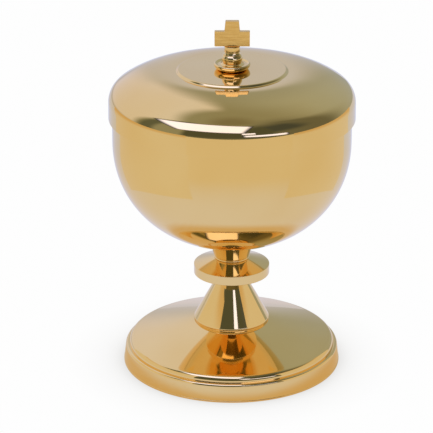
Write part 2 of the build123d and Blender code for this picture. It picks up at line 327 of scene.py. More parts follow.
def make_gilt_satin():
    """The gilt inside of the cup, lid and foot, as it leaves the spinning tool: satin rings."""
    material, tree, shader = metal("gold plate on tool-finished spun brass", "#F5CC80", 0.2)
    marks = rings(tree, 0.6, detail=4.0)
    tree.links.new(spread(tree, marks, 0.16, 0.28), shader.inputs["Roughness"])
    colour = tint(tree, spread(tree, patches(tree, 25.0), 0, 1), "#F5CC80", "#EDBE6C")
    tree.links.new(colour, shader.inputs["Base Color"])
    tree.links.new(relief(tree, marks, 0.0035), shader.inputs["Normal"])
    return material


def make_gilt_cross():
    """Gold-plated flat bar, drawn along fine emery and left satin: soft, slightly streaked."""
    material, tree, shader = metal("gold plate on satin flat bar", "#F5CB7C", 0.17)
    grain = patches(tree, 0.9, detail=4.0, stretch=(0.12, 1, 1))
    tree.links.new(spread(tree, grain, 0.13, 0.23), shader.inputs["Roughness"])
    tree.links.new(tint(tree, spread(tree, grain, 0, 1), "#F6CE82", "#F0C270"),
                   shader.inputs["Base Color"])
    tree.links.new(relief(tree, grain, 0.002), shader.inputs["Normal"])
    return material


def make_raw_brass():
    """Unplated turned brass inside the vessel: duller, with tool rings and a little tarnish."""
    material, tree, shader = metal("turned brass, unplated", "#D9B56F", 0.3)
    marks = rings(tree, 0.25, detail=3.0)
    tree.links.new(spread(tree, marks, 0.22, 0.4), shader.inputs["Roughness"])
    tarnish = spread(tree, patches(tree, 3.0, detail=5.0), 0, 1, 0.45, 0.75)
    tree.links.new(tint(tree, tarnish, "#DDBB78", "#A9854A"), shader.inputs["Base Color"])
    tree.links.new(relief(tree, marks, 0.004), shader.inputs["Normal"])
    return material


def make_plated_steel():
    """Zinc-plated steel: pale blue-grey with faint yellow passivation and a fine grit."""
    material, tree, shader = metal("zinc-plated steel", "#C3C7CA", 0.32)
    grit = patches(tree, 0.35, detail=3.0)
    tree.links.new(spread(tree, grit, 0.25, 0.42), shader.inputs["Roughness"])
    bloom = spread(tree, patches(tree, 2.4), 0, 1)
    tree.links.new(tint(tree, bloom, "#C5CBD2", "#CFC9AE"), shader.inputs["Base Color"])
    tree.links.new(relief(tree, grit, 0.003), shader.inputs["Normal"])
    return material


gilt_spun = make_gilt_spun()
gilt_turned = make_gilt_turned()
gilt_satin = make_gilt_satin()
gilt_cross = make_gilt_cross()
raw_brass = make_raw_brass()
plated_steel = make_plated_steel()


# ---- sections of the turned pieces -----------------------------------------------------
class Section:
    """The outline of a turned piece, drawn with a pen: radius across and height up, in mm."""

    def __init__(self, radius, height):
        self.points = [Vector((radius, height))]

    def line(self, radius, height):
        """A straight stretch, with a guard point near each end of a long one."""
        start, end = self.points[-1], Vector((radius, height))
        run = end - start
        if run.length > 4 * corner_guard:
            self.points.append(start + run.normalized() * corner_guard)
            self.points.append(end - run.normalized() * corner_guard)
        self.points.append(end)
        return self

    def lines(self, *corners):
        for corner in corners:
            self.line(*corner)
        return self

    def follow(self, points):
        """A straight stretch to the first of some ready points, then through the rest."""
        self.line(*points[0])
        self.points += [Vector(point) for point in points[1:]]
        return self

    def arc(self, heading, radius, turn):
        """An arc that starts in a heading in degrees, and returns the heading at its end.
        A positive turn goes to the left."""
        side = math.copysign(1, turn)
        angle = math.radians(heading)
        centre = self.points[-1] + Vector((-math.sin(angle), math.cos(angle))) * radius * side
        spoke = self.points[-1] - centre
        steps = max(3, math.ceil(abs(turn) / arc_step))
        for step in range(1, steps + 1):
            turned = Matrix.Rotation(math.radians(turn) * step / steps, 2)
            self.points.append(centre + turned @ spoke)
        return heading + turn

    def through(self, middle, end, steps=16):
        """An arc through a middle point to an end."""
        a, b, c = self.points[-1], Vector(middle), Vector(end)
        cross = (b - a).cross(c - b)
        if abs(cross) < 1e-9:
            return self.line(*end)
        d = 2 * (a.x * (b.y - c.y) + b.x * (c.y - a.y) + c.x * (a.y - b.y))
        squares = [p.length_squared for p in (a, b, c)]
        centre = Vector((
            squares[0] * (b.y - c.y) + squares[1] * (c.y - a.y) + squares[2] * (a.y - b.y),
            squares[0] * (c.x - b.x) + squares[1] * (a.x - c.x) + squares[2] * (b.x - a.x),
        )) / d
        radius = (a - centre).length
        first = math.atan2(a.y - centre.y, a.x - centre.x)
        last = math.atan2(c.y - centre.y, c.x - centre.x)
        sweep = (last - first) % math.tau
        if cross < 0:
            sweep -= math.tau
        for step in range(1, steps + 1):
            angle = first + sweep * step / steps
            self.points.append(centre + Vector((math.cos(angle), math.sin(angle))) * radius)
        return self

    def tangent_arc(self, heading, end, steps=16):
        """An arc that starts in a heading in degrees and goes to an end; returns its heading."""
        start = self.points[-1].copy()
        chord = Vector(end) - start
        chord_heading = math.degrees(math.atan2(chord.y, chord.x))
        half_turn = (chord_heading - heading + 180) % 360 - 180
        for step in range(1, steps + 1):
            share = step / steps
            length = chord.length * math.sin(math.radians(half_turn * share)) / math.sin(
                math.radians(half_turn))
            self.points.append(start + along(heading + half_turn * share) * length)
        return heading + 2 * half_turn

    def bezier(self, handle_a, handle_b, end, steps=14):
        """A curve that leaves and arrives along its two handles."""
        start = self.points[-1].copy()
        controls = [start, Vector(handle_a), Vector(handle_b), Vector(end)]
        for step in range(1, steps + 1):
            t = step / steps
            shares = ((1 - t) ** 3, 3 * t * (1 - t) ** 2, 3 * t * t * (1 - t), t ** 3)
            point = Vector((0, 0))
            for share, control in zip(shares, controls):
                point += control * share
            self.points.append(point)
        return self

    def close(self):
        """Goes straight back to the first point. On the axis that needs no guard points."""
        if self.points[0].x > 0:
            return self.line(*self.points[0])
        self.points.append(self.points[0].copy())
        return self


def rounded(corners, radius):
    """A closed outline of straight sides with every corner eased by a small radius."""
    count = len(corners)
    outline = []
    for index, corner in enumerate(corners):
        here = Vector(corner)
        before, after = Vector(corners[index - 1]), Vector(corners[(index + 1) % count])
        to_before, to_after = (before - here), (after - here)
        opening = to_before.angle(to_after)
        reach = radius / math.tan(opening / 2)
        reach = min(reach, corner_share * to_before.length, corner_share * to_after.length)
        size = reach * math.tan(opening / 2)
        bisector = (to_before.normalized() + to_after.normalized()).normalized()
        centre = here + bisector * size / math.sin(opening / 2)
        start = here + to_before.normalized() * reach
        end = here + to_after.normalized() * reach
        spoke, sweep = start - centre, math.pi - opening
        if (here - before).cross(after - here) < 0:
            sweep = -sweep
        steps = max(2, math.ceil(math.degrees(abs(sweep)) / corner_step))
        guard = min(corner_guard, guard_share * reach)
        outline.append(start + to_before.normalized() * guard)
        for step in range(steps + 1):
            outline.append(centre + Matrix.Rotation(sweep * step / steps, 2) @ spoke)
        outline.append(end + to_after.normalized() * guard)
    section = Section(*outline[0])
    section.points = outline + [outline[0].copy()]
    return section


# ---- the lathe: a Geometry Nodes tree --------------------------------------------------
def make_lathe():
    """Turns an outline round +Z: every outline point becomes a ring of points."""
    tree = bpy.data.node_groups.new("turned on the axis", "GeometryNodeTree")
    tree.interface.new_socket("Outline", in_out="INPUT", socket_type="NodeSocketGeometry")
    segments = tree.interface.new_socket("Segments", in_out="INPUT",
                                         socket_type="NodeSocketInt")
    finish = tree.interface.new_socket("Finish", in_out="INPUT",
                                       socket_type="NodeSocketMaterial")
    tree.interface.new_socket("Turned", in_out="OUTPUT", socket_type="NodeSocketGeometry")
    given = node(tree, "NodeGroupInput")
    size = node(tree, "GeometryNodeAttributeDomainSize", {"component": "MESH"},
                {"Geometry": given.outputs["Outline"]})
    around = node(tree, "ShaderNodeMath", {"operation": "ADD", 1: 1.0},
                  {0: given.outputs["Segments"]}, label="points round, seam doubled")
    grid = node(tree, "GeometryNodeMeshGrid", {}, {
        "Vertices X": size.outputs["Point Count"], "Vertices Y": around.outputs[0]})
    index = node(tree, "GeometryNodeInputIndex")
    share = node(tree, "ShaderNodeMath", {"operation": "DIVIDE"},
                 {0: index.outputs[0], 1: around.outputs[0]})
    ring = node(tree, "ShaderNodeMath", {"operation": "FLOOR"}, {0: share.outputs[0]})
    place = node(tree, "ShaderNodeMath", {"operation": "MODULO"},
                 {0: index.outputs[0], 1: around.outputs[0]})
    turn = node(tree, "ShaderNodeMath", {"operation": "DIVIDE"},
                {0: place.outputs[0], 1: given.outputs["Segments"]})
    angle = node(tree, "ShaderNodeMath", {"operation": "MULTIPLY", 1: math.tau},
                 {0: turn.outputs[0]})
    position = node(tree, "GeometryNodeInputPosition")
    outline_point = node(tree, "GeometryNodeSampleIndex", {"data_type": "FLOAT_VECTOR"}, {
        "Geometry": given.outputs["Outline"], "Value": position.outputs[0],
        "Index": ring.outputs[0]})
    run = node(tree, "GeometryNodeInputNamedAttribute", {"data_type": "FLOAT", "Name": "run"})
    outline_run = node(tree, "GeometryNodeSampleIndex", {"data_type": "FLOAT"}, {
        "Geometry": given.outputs["Outline"], "Value": run.outputs["Attribute"],
        "Index": ring.outputs[0]})
    turned = node(tree, "ShaderNodeVectorRotate", {"rotation_type": "Z_AXIS"},
                  {"Vector": outline_point.outputs["Value"], "Angle": angle.outputs[0]})
    placed = node(tree, "GeometryNodeSetPosition", {}, {
        "Geometry": grid.outputs["Mesh"], "Position": turned.outputs[0]})
    marked = node(tree, "GeometryNodeStoreNamedAttribute",
                  {"data_type": "FLOAT", "domain": "POINT", "Name": "run"},
                  {"Geometry": placed.outputs[0], "Value": outline_run.outputs["Value"]})
    joined = node(tree, "GeometryNodeMergeByDistance", {"Distance": merge_gap},
                  {"Geometry": marked.outputs[0]})
    smooth = node(tree, "GeometryNodeSetShadeSmooth", {}, {"Geometry": joined.outputs[0]})
    real = node(tree, "GeometryNodeRealizeInstances", {}, {"Geometry": smooth.outputs[0]})
    painted = node(tree, "GeometryNodeSetMaterial", {},
                   {"Geometry": real.outputs[0], "Material": given.outputs["Finish"]})
    node(tree, "NodeGroupOutput", links={"Turned": painted.outputs[0]})
    lay_out(tree)
    return tree, {"Segments": segments.identifier, "Finish": finish.identifier}


# ---- the screw-cutting lathe: a second tree --------------------------------------------
def make_screw_cutter():
    """A threaded rod on +Z: a triangular thread that fades into a chamfer at each end."""
    tree = bpy.data.node_groups.new("threaded rod on the axis", "GeometryNodeTree")
    names = ("Radius", "Depth", "Pitch", "Bottom", "Top", "Chamfer")
    sockets = {}
    for name in names:
        made = tree.interface.new_socket(name, in_out="INPUT", socket_type="NodeSocketFloat")
        sockets[name] = made.identifier
    for name in ("Segments", "Rows"):
        made = tree.interface.new_socket(name, in_out="INPUT", socket_type="NodeSocketInt")
        sockets[name] = made.identifier
    made = tree.interface.new_socket("Finish", in_out="INPUT", socket_type="NodeSocketMaterial")
    sockets["Finish"] = made.identifier
    tree.interface.new_socket("Rod", in_out="OUTPUT", socket_type="NodeSocketGeometry")
    given = node(tree, "NodeGroupInput")
    known = {name: given.outputs[name] for name in sockets}
    known["point"] = node(tree, "GeometryNodeInputIndex").outputs[0]
    # The first and last rows are the middles of the end faces; the rows between climb the rod.
    sums = (
        ("points round", "ADD", "Segments", 1),
        ("rows passed", "DIVIDE", "point", "points round"),
        ("row", "FLOOR", "rows passed", None),
        ("place in row", "MODULO", "point", "points round"),
        ("turn", "DIVIDE", "place in row", "Segments"),
        ("last row", "SUBTRACT", "Rows", 1),
        ("rows climbed", "SUBTRACT", "row", 1),
        ("rows to climb", "SUBTRACT", "last row", 2),
        ("climb, unclamped", "DIVIDE", "rows climbed", "rows to climb"),
        ("climb, not below 0", "MAXIMUM", "climb, unclamped", 0),
        ("climb", "MINIMUM", "climb, not below 0", 1),
        ("length", "SUBTRACT", "Top", "Bottom"),
        ("rise", "MULTIPLY", "climb", "length"),
        ("height", "ADD", "Bottom", "rise"),
        ("pitches", "DIVIDE", "height", "Pitch"),
        ("phase", "SUBTRACT", "pitches", "turn"),
        ("0 on a crest, 0.5 in a root", "PINGPONG", "phase", 0.5),
        ("0 on a crest, 1 in a root", "MULTIPLY", "0 on a crest, 0.5 in a root", 2),
        ("cut", "MULTIPLY", "0 on a crest, 1 in a root", "Depth"),
        ("threaded radius", "SUBTRACT", "Radius", "cut"),
        ("from the bottom", "SUBTRACT", "height", "Bottom"),
        ("from the top", "SUBTRACT", "Top", "height"),
        ("from an end", "MINIMUM", "from the bottom", "from the top"),
        ("end radius", "SUBTRACT", "Radius", "Chamfer"),
        ("chamfer radius", "ADD", "end radius", "from an end"),
        ("outer radius", "MINIMUM", "threaded radius", "chamfer radius"),
        ("is first row", "LESS_THAN", "row", 0.5),
        ("middle of last row", "SUBTRACT", "last row", 0.5),
        ("is last row", "GREATER_THAN", "row", "middle of last row"),
        ("is a middle", "MAXIMUM", "is first row", "is last row"),
        ("is outside", "SUBTRACT", 1, "is a middle"),
        ("radius", "MULTIPLY", "outer radius", "is outside"),
        ("angle", "MULTIPLY", "turn", math.tau),
        ("cosine", "COSINE", "angle", None),
        ("sine", "SINE", "angle", None),
        ("x", "MULTIPLY", "radius", "cosine"),
        ("y", "MULTIPLY", "radius", "sine"),
    )
    for result, operation, *terms in sums:
        slots = [(slot, term) for slot, term in enumerate(terms) if term is not None]
        sources = {slot: known[term] for slot, term in slots if term in known}
        numbers = {slot: term for slot, term in slots if term not in known}
        made = node(tree, "ShaderNodeMath", {"operation": operation, **numbers}, sources, result)
        known[result] = made.outputs[0]
    height = known["height"]
    grid = node(tree, "GeometryNodeMeshGrid", {}, {
        "Vertices X": known["Rows"], "Vertices Y": known["points round"]})
    place = node(tree, "ShaderNodeCombineXYZ", {}, {
        "X": known["x"], "Y": known["y"], "Z": height})
    placed = node(tree, "GeometryNodeSetPosition", {}, {
        "Geometry": grid.outputs["Mesh"], "Position": place.outputs[0]})
    marked = node(tree, "GeometryNodeStoreNamedAttribute",
                  {"data_type": "FLOAT", "domain": "POINT", "Name": "run"},
                  {"Geometry": placed.outputs[0], "Value": height})
    joined = node(tree, "GeometryNodeMergeByDistance", {"Distance": merge_gap},
                  {"Geometry": marked.outputs[0]})
    real = node(tree, "GeometryNodeRealizeInstances", {}, {"Geometry": joined.outputs[0]})
    painted = node(tree, "GeometryNodeSetMaterial", {},
                   {"Geometry": real.outputs[0], "Material": given.outputs["Finish"]})
    node(tree, "NodeGroupOutput", links={"Rod": painted.outputs[0]})
    lay_out(tree)
    return tree, sockets


lathe, lathe_inputs = make_lathe()
screw_cutter, cutter_inputs = make_screw_cutter()


def run_tree(tree, values, start, name):
    """Runs a tree on a start mesh and returns the result as a plain mesh object."""
    worker = bpy.data.objects.new(name + "_work", start)
    bpy.context.scene.collection.objects.link(worker)
    modifier = worker.modifiers.new("make", "NODES")
    modifier.node_group = tree
    for identifier, value in values.items():
        modifier[identifier] = value
    worker.update_tag()
    depsgraph = bpy.context.evaluated_depsgraph_get()
    mesh = bpy.data.meshes.new_from_object(worker.evaluated_get(depsgraph))
    mesh.name = name
    worker.modifiers.remove(modifier)
    bpy.data.objects.remove(worker)
    piece = bpy.data.objects.new(name, mesh)
    bpy.context.scene.collection.objects.link(piece)
    return piece


def point_outwards(piece):
    """Gives a closed mesh's faces outward normals."""
    mesh = bmesh.new()
    mesh.from_mesh(piece.data)
    bmesh.ops.recalc_face_normals(mesh, faces=mesh.faces)
    mesh.to_mesh(piece.data)
    mesh.free()


def turn_piece(name, section, finish, segments=turned_segments):
    """Turns a closed section into a solid piece."""
    outline = bpy.data.meshes.new(name + "_outline")
    points = [(p.x * MM, 0, p.y * MM) for p in section.points]
    outline.from_pydata(points, [(i, i + 1) for i in range(len(points) - 1)], [])
    run, lengths = 0.0, []
    for here, before in zip(section.points, [section.points[0], *section.points]):
        run += (here - before).length
        lengths.append(run)
    attribute = outline.attributes.new("run", "FLOAT", "POINT")
    attribute.data.foreach_set("value", lengths)
    piece = run_tree(lathe, {lathe_inputs["Segments"]: segments,
                             lathe_inputs["Finish"]: finish}, outline, name)
    point_outwards(piece)
    return piece


def cut_rod(name, radius, pitch, bottom, top, chamfer, finish):
    """A threaded rod between two heights in millimetres."""
    rows = round((top - bottom) / pitch * thread_rows_per_pitch) + thread_end_rows
    values = {"Radius": (radius - thread_crest_gap) * MM,
              "Depth": pitch * thread_depth_share * MM, "Pitch": pitch * MM,
              "Bottom": bottom * MM, "Top": top * MM, "Chamfer": chamfer * MM,
              "Segments": thread_segments, "Rows": rows, "Finish": finish}
    start = bpy.data.meshes.new(name + "_start")
    piece = run_tree(screw_cutter, {cutter_inputs[k]: v for k, v in values.items()},
                     start, name)
    attribute = piece.data.attributes["run"]
    heights = np.zeros(len(piece.data.vertices), np.float32)
    attribute.data.foreach_get("value", heights)
    attribute.data.foreach_set("value", heights / MM)
    point_outwards(piece)
    piece.data.shade_smooth()
    piece.data.set_sharp_from_angle(angle=math.radians(thread_sharp_angle))
    return piece


def object_from(name, mesh, finish):
    """A smooth-shaded object with one finish, from an edit mesh that is then freed."""
    data = bpy.data.meshes.new(name)
    mesh.to_mesh(data)
    mesh.free()
    data.materials.append(finish)
    data.shade_smooth()
    piece = bpy.data.objects.new(name, data)
    bpy.context.scene.collection.objects.link(piece)
    return piece


def line_inside(piece, finish, centre_z):
    """Gives the faces that look towards a point on the axis a second finish."""
    piece.data.materials.append(finish)
    centre = Vector((0, 0, centre_z * MM))
    for face in piece.data.polygons:
        if face.normal.dot(face.center - centre) < 0:
            face.material_index = 1


def settle(piece, body, slot, *nodes):
    """Says what a finished piece rides on and which CAD nodes it is. The slot is not used."""
    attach(piece, body)
    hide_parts(*nodes)
    return piece


# ---- cup -------------------------------------------------------------------------------
def bowl_points(inset):
    """The cup's side from its flat bottom to its straight part: fuller than an ellipse."""
    radius, seat_z, _ = extent("cup_bowl")
    across, depth = radius - inset, bowl_depth - inset
    power = 2 / bowl_fullness
    drop = (bowl_centre_z - seat_z - inset) / depth
    start = math.asin(drop ** (1 / power))
    points = []
    for step in range(bowl_steps + 1):
        angle = start * (1 - step / bowl_steps)
        points.append(Vector((across * math.cos(angle) ** power,
                              bowl_centre_z - depth * math.sin(angle) ** power)))
    return points


def make_cup():
    radius, seat_z, lip_z = extent("cup_bowl")
    section = Section(0, seat_z)
    section.follow(bowl_points(0))
    lip = sheet_wall / 2 - lip_flat_half
    section.line(radius, lip_z - lip)
    section.arc(90, lip, 90)
    section.line(radius - sheet_wall + lip, lip_z)
    section.arc(180, lip, 90)
    section.follow(bowl_points(sheet_wall)[::-1])
    section.line(0, seat_z + sheet_wall).close()
    cup = turn_piece("cup", section, gilt_spun)
    line_inside(cup, gilt_satin, bowl_centre_z)
    return settle(cup, "vessel", "gilt_spun", "cup_bowl")


# ---- stem ------------------------------------------------------------------------------
def make_neck():
    radius, bottom, top = extent("neck_sleeve")
    section = Section(neck_bottom_radius, bottom)
    middle = ((neck_bottom_radius + radius) / 2 - neck_hollow, (bottom + top) / 2)
    section.through(middle, (radius, top), steps=20)
    section.lines((neck_bore_radius, top), (neck_bore_radius, bottom)).close()
    neck = turn_piece("neck", section, gilt_turned, small_segments)
    return settle(neck, "vessel", "gilt_turned", "neck_sleeve")


def make_neck_ring():
    radius, bottom, top = extent("neck_ring")
    flank = radius - (top - bottom) / 2
    section = Section(flank, bottom)
    section.arc(0, (top - bottom) / 2, 180)
    section.lines((rod_hole_radius, top), (rod_hole_radius, bottom)).close()
    ring = turn_piece("neck_half_round_ring", section, gilt_turned, small_segments)
    return settle(ring, "vessel", "gilt_turned", "neck_ring")


def make_knop():
    radius, bottom, top = extent("knop")
    corners = [(rod_hole_radius, bottom), (cone_top_radius, bottom),
               (radius, knop_band_bottom_z), (radius, knop_band_top_z),
               (knop_hub_radius, top), (rod_hole_radius, top)]
    knop = turn_piece("knop_disc", rounded(corners, eased_edge), gilt_turned)
    return settle(knop, "vessel", "gilt_turned", "knop")


def make_stem_cone():
    _, foot_z, top = extent("stem_cone")
    slant = math.radians(cone_half_angle)
    side_drop = (cone_bottom_radius - cone_top_radius) / math.tan(slant)
    cavity_radius = cone_top_radius + cone_head_height * math.tan(slant) - cone_wall
    section = Section(cone_top_radius, top)
    section.line(cone_bottom_radius, top - side_drop)
    section.arc(cone_half_angle - 90, cone_lip_radius, -cone_lip_turn)
    section.line(section.points[-1].x, foot_z)
    section.lines((cone_bottom_radius - cone_wall, foot_z),
                  (cavity_radius, top - cone_head_height),
                  (rod_hole_radius, top - cone_head_height),
                  (rod_hole_radius, top)).close()
    cone = turn_piece("stem_cone_hollow", section, gilt_turned)
    return settle(cone, "vessel", "gilt_turned", "stem_cone")


# ---- foot ------------------------------------------------------------------------------
def foot_side(inset, seat_z, bottom):
    """The foot's sheet from its seat to its bottom edge, inset from the outer skin."""
    slope = math.radians(foot_shoulder_slope)
    groove_radius = foot_groove_radius - inset
    groove_z = foot_bead_top_z + foot_groove_height - inset * foot_groove_drift
    shoulder = foot_shoulder_round - inset
    shoulder_start = Vector((groove_radius - shoulder * (1 - math.sin(slope)),
                             groove_z + shoulder * math.cos(slope)))
    section = Section(rod_hole_radius, seat_z - inset)
    seat_end = Vector((foot_seat_radius - inset * foot_seat_drift, seat_z - inset))
    section.line(*(seat_end - Vector((soft_edge, 0))))
    middle = (seat_end + shoulder_start) / 2 + Vector((0, foot_top_crown))
    start = seat_end + (middle - seat_end).normalized() * soft_edge
    section.through(seat_end - Vector((0, foot_seat_dip)), start, steps=4)
    section.through(middle, shoulder_start, steps=36)
    section.arc(-foot_shoulder_slope, shoulder, foot_shoulder_slope - 90)
    section.line(groove_radius, foot_bead_top_z - inset)
    bead = foot_bead_radius - inset
    section.line(foot_wall_top_radius - foot_bead_radius, foot_bead_top_z - inset)
    section.arc(0, bead, -90)
    flare = (foot_radius_at_floor - foot_wall_top_radius) * bottom / (foot_bead_top_z - bead)
    section.line(foot_radius_at_floor - inset - flare, bottom)
    return section


def make_foot():
    _, bottom, seat_z = extent("foot_shell")
    section = foot_side(0, seat_z, bottom)
    section.follow(foot_side(sheet_wall, seat_z, bottom).points[::-1]).close()
    foot = turn_piece("foot", section, gilt_spun)
    line_inside(foot, gilt_satin, -4 * seat_z)
    return settle(foot, "vessel", "gilt_spun", "foot_shell")


def make_base_ring():
    radius, bottom, top = extent("foot_base_ring")
    lip_radius = foot_wall_top_radius - sheet_wall
    ledge = extent("foot_shell")[1]
    lip_inner = lip_radius - sheet_wall
    corners = [(base_ring_inner_radius, bottom), (radius, bottom), (radius, ledge),
               (lip_radius, ledge), (lip_radius, top), (lip_inner, top), (lip_inner, ledge),
               (base_ring_inner_radius, ledge)]
    ring = turn_piece("foot_bottom_ring", rounded(corners, eased_edge), gilt_spun)
    return settle(ring, "vessel", "gilt_spun", "foot_base_ring")


# ---- lid -------------------------------------------------------------------------------
def lid_side(inset):
    """The lid's sheet from its hem to its centre hole, inset from the outer skin."""
    hem_radius, hem_z, plateau_z = extent("lid_shell")
    section = Section(hem_radius - inset, hem_z)
    section.line(lid_skirt_top_radius - inset, lid_skirt_top_z)
    heading = section.arc(90, lid_edge_radius - inset, lid_edge_turn)
    heading = section.arc(heading, lid_dome_radius - inset, lid_dome_turn)
    flat_end = Vector((plateau_radius - plateau_edge_share * inset, plateau_z - inset))
    step_foot = flat_end + Vector((plateau_step_width, -plateau_step_height))
    heading = section.tangent_arc(heading, step_foot, steps=30)
    section.bezier(step_foot + along(heading) * plateau_step_handle,
                   flat_end + Vector((plateau_step_handle, 0)), flat_end)
    section.line(stud_hole_radius, plateau_z - inset)
    return section


def make_lid():
    _, hem_z, _ = extent("lid_shell")
    section = lid_side(0)
    section.follow(lid_side(lid_wall).points[::-1]).close()
    lid = turn_piece("lid_cover", section, gilt_spun)
    line_inside(lid, gilt_satin, hem_z - under_lid)
    return settle(lid, "lid", "gilt_spun", "lid_shell")


def make_seat_ring():
    _, bottom, top = extent("lid_seat_ring")
    centre_radius = lid_skirt_top_radius - lid_edge_radius
    reach = lid_edge_radius - lid_wall
    section = Section(seat_ring_inner_radius, top)
    section.line(seat_ring_inner_radius, bottom)
    heights = [bottom + (top - bottom) * step / seat_ring_edge_steps
               for step in range(seat_ring_edge_steps + 1)]
    edge = [(centre_radius + math.sqrt(reach ** 2 - (z - lid_skirt_top_z) ** 2), z)
            for z in heights]
    section.follow(edge).close()
    ring = turn_piece("lid_rest_ring", section, gilt_satin)
    return settle(ring, "lid", "gilt_spun", "lid_seat_ring")


# ---- finial ----------------------------------------------------------------------------
def make_finial_base():
    radius, bottom, top = extent("finial_base")
    under_out, under_up = dish_under_middle
    rim_low, rim_middle, rim_high = [(radius - inward, bottom + up) for inward, up in
                                     (dish_rim_low, dish_rim_middle, dish_rim_high)]
    section = Section(finial_foot_radius, bottom)
    section.through((finial_foot_radius + under_out, bottom + under_up), rim_low, steps=14)
    section.through(rim_middle, rim_high, steps=10)
    section.through((dish_top_middle[0], bottom + dish_top_middle[1]),
                    (barrel_end_radius + dish_seat_ledge, top), steps=14)
    section.lines((stud_hole_radius, top), (stud_hole_radius, bottom)).close()
    base = turn_piece("finial_dished_base", section, gilt_turned, small_segments)
    return settle(base, "lid", "gilt_turned", "finial_base")


def make_finial_barrel():
    radius, bottom, top = extent("finial_barrel")
    section = Section(barrel_end_radius, bottom)
    section.through((radius, (bottom + top) / 2), (barrel_end_radius, top), steps=20)
    section.lines((stud_hole_radius, top), (stud_hole_radius, bottom)).close()
    barrel = turn_piece("finial_barrel_bead", section, gilt_turned, small_segments)
    return settle(barrel, "lid", "gilt_turned", "finial_barrel")


def make_finial_collar():
    radius, bottom, top = extent("finial_collar")
    waist_z = bottom + (top - bottom) / 3
    bore_top = bottom + collar_hole_depth
    section = Section(0, bore_top)
    section.lines((collar_bore_radius, bore_top), (collar_bore_radius, bottom),
                  (radius, bottom))
    hollow_z = bottom + collar_hollow_share * (waist_z - bottom)
    section.through((radius - collar_hollow, hollow_z), (collar_radius, waist_z), steps=10)
    section.line(collar_radius, top - soft_edge)
    section.arc(90, soft_edge, 90)
    section.line(0, top).close()
    collar = turn_piece("finial_neck_collar", section, gilt_turned, small_segments)
    return settle(collar, "lid", "gilt_turned", "finial_collar")


def make_cross():
    """A flat bar cross: one outline, given its thickness and eased edges."""
    low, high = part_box("cross")
    collar_top = extent("finial_collar")[2] * MM
    arm_top = collar_top + cross_arm_height * MM
    foot_half, top_half = cross_stem_bottom_width / 2 * MM, cross_stem_top_width / 2 * MM
    outline = [(low.x, collar_top), (high.x, collar_top), (high.x, arm_top),
               (foot_half, arm_top), (top_half, high.z), (-top_half, high.z),
               (-foot_half, arm_top), (low.x, arm_top)]
    mesh = bmesh.new()
    front = [mesh.verts.new((x, low.y, z)) for x, z in outline]
    back = [mesh.verts.new((x, high.y, z)) for x, z in outline]
    mesh.faces.new(front)
    mesh.faces.new(back[::-1])
    for index in range(len(outline)):
        after = (index + 1) % len(outline)
        mesh.faces.new((front[index], back[index], back[after], front[after]))
    bmesh.ops.recalc_face_normals(mesh, faces=mesh.faces)
    bmesh.ops.bevel(mesh, geom=mesh.edges[:], offset=cross_edge * MM, segments=4, profile=0.5,
                    affect="EDGES", clamp_overlap=True)
    cross = object_from("altar_cross", mesh, gilt_cross)
    weighted = cross.modifiers.new("flat faces stay flat", "WEIGHTED_NORMAL")
    weighted.keep_sharp = True
    return settle(cross, "lid", "gilt_cross", "cross")


# ---- fastenings ------------------------------------------------------------------------
def make_nut(name, nut_node, bore_radius, across_flats, finish, body, slot):
    """A hexagon nut whose corners are turned away at both ends, as chamfered nuts are."""
    _, bottom, top = extent(nut_node)
    face_radius = nut_face_share * across_flats
    chamfered_bore = bore_radius + nut_bore_chamfer
    side, half_side = math.radians(60), math.radians(30)
    points_round = 6 * nut_points_per_side
    mesh = bmesh.new()
    rows = []
    for step in range(points_round):
        angle = half_side + math.tau * step / points_round
        reach = across_flats / 2 / math.cos(angle % side - half_side)
        drop = (reach - face_radius) * math.tan(math.radians(nut_chamfer_angle))
        profile = [(chamfered_bore, bottom), (face_radius, bottom), (reach, bottom + drop),
                   (reach, top - drop), (face_radius, top), (chamfered_bore, top),
                   (bore_radius, top - nut_bore_chamfer),
                   (bore_radius, bottom + nut_bore_chamfer)]
        rows.append([mesh.verts.new((r * math.cos(angle) * MM, r * math.sin(angle) * MM, z * MM))
                     for r, z in profile])
    for index, ring in enumerate(rows):
        following = rows[(index + 1) % len(rows)]
        for place in range(len(ring)):
            after = (place + 1) % len(ring)
            mesh.faces.new((ring[place], following[place], following[after], ring[after]))
    bmesh.ops.recalc_face_normals(mesh, faces=mesh.faces)
    nut = object_from(name, mesh, finish)
    nut.data.set_sharp_from_angle(angle=math.radians(nut_sharp_angle))
    return settle(nut, body, slot, nut_node)


def make_washer(name, washer_node, bore_radius, finish, body, slot):
    radius, bottom, top = extent(washer_node)
    corners = [(bore_radius, bottom), (radius, bottom), (radius, top), (bore_radius, top)]
    washer = turn_piece(name, rounded(corners, washer_edge), finish, small_segments)
    return settle(washer, body, slot, washer_node)


